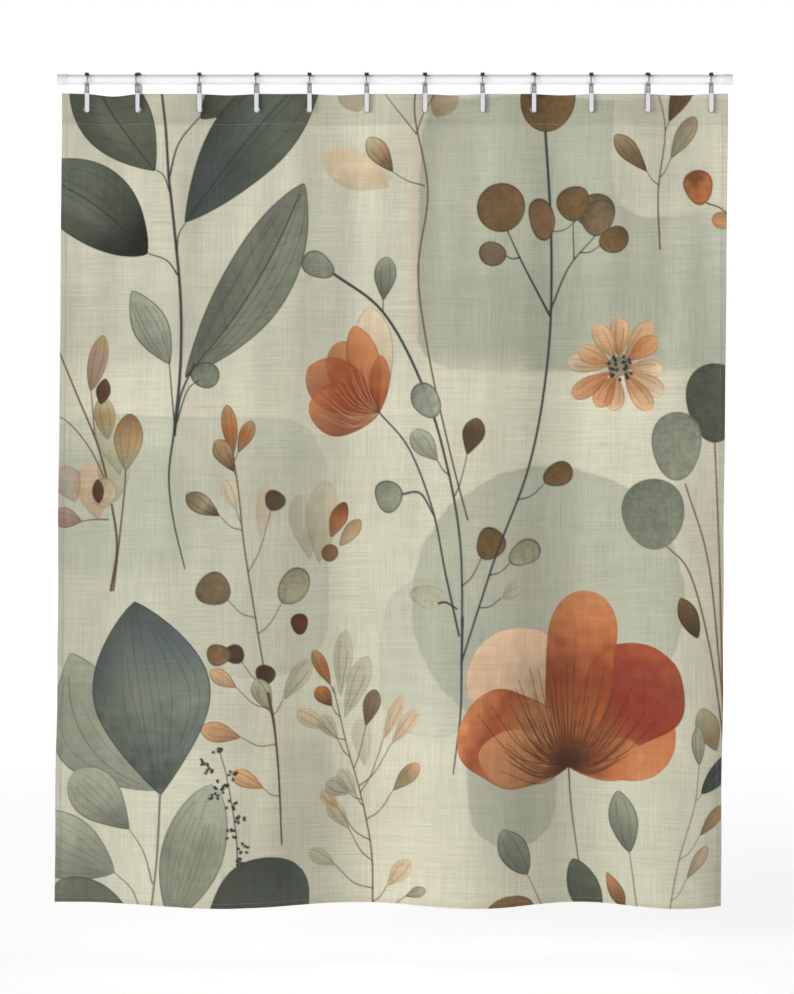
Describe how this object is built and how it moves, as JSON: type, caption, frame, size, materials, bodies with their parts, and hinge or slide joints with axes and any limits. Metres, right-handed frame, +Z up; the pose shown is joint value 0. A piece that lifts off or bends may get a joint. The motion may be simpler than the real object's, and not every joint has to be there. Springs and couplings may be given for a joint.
{
  "type": "shower curtain",
  "caption": "Printed cloth shower curtain with doubled hems and stitched eyelets, hung by metal hooks that slide and swing on a straight white rod.",
  "frame": {"origin": "middle of the rod's length, on the rod's axis", "axes": "+X along the rod towards its right end seen from the front; +Y from the printed front to the back of the cloth; +Z up"},
  "size_m": [1.52, 0.0663, 1.878],
  "materials": {
    "rod_paint": "gloss",
    "cap_plastic": "satin",
    "printed_cloth": "matte",
    "hem_cloth": "matte",
    "thread": "matte",
    "ring_wire": "polished",
    "glide_nylon": "satin",
    "hook_block": "polished",
    "hook_strip": "satin"
  },
  "bodies": {
    "rod": {"rod_tube": "rod_paint", "rod_cap_left": "cap_plastic", "rod_cap_right": "cap_plastic"},
    "curtain": {"panel_cloth": "printed_cloth", "header_hem": "hem_cloth", "left_side_hem": "hem_cloth", "right_side_hem": "hem_cloth", "bottom_hem": "hem_cloth", "eyelet_stitching": "thread"},
    "hook_01": {"hook_01_ring": "ring_wire", "hook_01_glide": "glide_nylon", "hook_01_block": "hook_block", "hook_01_strip": "hook_strip"},
    "hook_02": {"hook_02_ring": "ring_wire", "hook_02_glide": "glide_nylon", "hook_02_block": "hook_block", "hook_02_strip": "hook_strip"},
    "hook_03": {"hook_03_ring": "ring_wire", "hook_03_glide": "glide_nylon", "hook_03_block": "hook_block", "hook_03_strip": "hook_strip"},
    "hook_04": {"hook_04_ring": "ring_wire", "hook_04_glide": "glide_nylon", "hook_04_block": "hook_block", "hook_04_strip": "hook_strip"},
    "hook_05": {"hook_05_ring": "ring_wire", "hook_05_glide": "glide_nylon", "hook_05_block": "hook_block", "hook_05_strip": "hook_strip"},
    "hook_06": {"hook_06_ring": "ring_wire", "hook_06_glide": "glide_nylon", "hook_06_block": "hook_block", "hook_06_strip": "hook_strip"},
    "hook_07": {"hook_07_ring": "ring_wire", "hook_07_glide": "glide_nylon", "hook_07_block": "hook_block", "hook_07_strip": "hook_strip"},
    "hook_08": {"hook_08_ring": "ring_wire", "hook_08_glide": "glide_nylon", "hook_08_block": "hook_block", "hook_08_strip": "hook_strip"},
    "hook_09": {"hook_09_ring": "ring_wire", "hook_09_glide": "glide_nylon", "hook_09_block": "hook_block", "hook_09_strip": "hook_strip"},
    "hook_10": {"hook_10_ring": "ring_wire", "hook_10_glide": "glide_nylon", "hook_10_block": "hook_block", "hook_10_strip": "hook_strip"},
    "hook_11": {"hook_11_ring": "ring_wire", "hook_11_glide": "glide_nylon", "hook_11_block": "hook_block", "hook_11_strip": "hook_strip"},
    "hook_12": {"hook_12_ring": "ring_wire", "hook_12_glide": "glide_nylon", "hook_12_block": "hook_block", "hook_12_strip": "hook_strip"}
  },
  "joints": [
    {"name": "curtain_swing", "type": "hinge", "parent": "rod", "child": "curtain", "pos_m": [0, 0, 0], "axis": [1, 0, 0], "range_deg": [-20, 20]},
    {"name": "hook_01_slide", "type": "slide", "parent": "curtain", "child": "hook_01", "axis": [1, 0, 0], "range_m": [-0.031, 0]},
    {"name": "hook_02_slide", "type": "slide", "parent": "curtain", "child": "hook_02", "axis": [1, 0, 0], "range_m": [-0.118, 0]},
    {"name": "hook_03_slide", "type": "slide", "parent": "curtain", "child": "hook_03", "axis": [1, 0, 0], "range_m": [-0.221, 0]},
    {"name": "hook_04_slide", "type": "slide", "parent": "curtain", "child": "hook_04", "axis": [1, 0, 0], "range_m": [-0.319, 0]},
    {"name": "hook_05_slide", "type": "slide", "parent": "curtain", "child": "hook_05", "axis": [1, 0, 0], "range_m": [-0.407, 0]},
    {"name": "hook_06_slide", "type": "slide", "parent": "curtain", "child": "hook_06", "axis": [1, 0, 0], "range_m": [-0.505, 0]},
    {"name": "hook_07_slide", "type": "slide", "parent": "curtain", "child": "hook_07", "axis": [1, 0, 0], "range_m": [-0.602, 0]},
    {"name": "hook_08_slide", "type": "slide", "parent": "curtain", "child": "hook_08", "axis": [1, 0, 0], "range_m": [-0.7, 0]},
    {"name": "hook_09_slide", "type": "slide", "parent": "curtain", "child": "hook_09", "axis": [1, 0, 0], "range_m": [-0.786, 0]},
    {"name": "hook_10_slide", "type": "slide", "parent": "curtain", "child": "hook_10", "axis": [1, 0, 0], "range_m": [-0.884, 0]},
    {"name": "hook_11_slide", "type": "slide", "parent": "curtain", "child": "hook_11", "axis": [1, 0, 0], "range_m": [-0.979, 0]},
    {"name": "hook_12_slide", "type": "slide", "parent": "curtain", "child": "hook_12", "axis": [1, 0, 0], "range_m": [-1.086, 0], "deforming": ["panel_cloth", "header_hem", "left_side_hem", "right_side_hem", "bottom_hem", "eyelet_stitching"]}
  ],
  "couplings": [
    {"joint": "hook_01_slide", "follows": "hook_12_slide", "ratio": 0.02762},
    {"joint": "hook_02_slide", "follows": "hook_12_slide", "ratio": 0.10843},
    {"joint": "hook_03_slide", "follows": "hook_12_slide", "ratio": 0.20304},
    {"joint": "hook_04_slide", "follows": "hook_12_slide", "ratio": 0.29282},
    {"joint": "hook_05_slide", "follows": "hook_12_slide", "ratio": 0.37431},
    {"joint": "hook_06_slide", "follows": "hook_12_slide", "ratio": 0.46409},
    {"joint": "hook_07_slide", "follows": "hook_12_slide", "ratio": 0.55387},
    {"joint": "hook_08_slide", "follows": "hook_12_slide", "ratio": 0.64434},
    {"joint": "hook_09_slide", "follows": "hook_12_slide", "ratio": 0.72307},
    {"joint": "hook_10_slide", "follows": "hook_12_slide", "ratio": 0.81354},
    {"joint": "hook_11_slide", "follows": "hook_12_slide", "ratio": 0.90055}
  ]
}
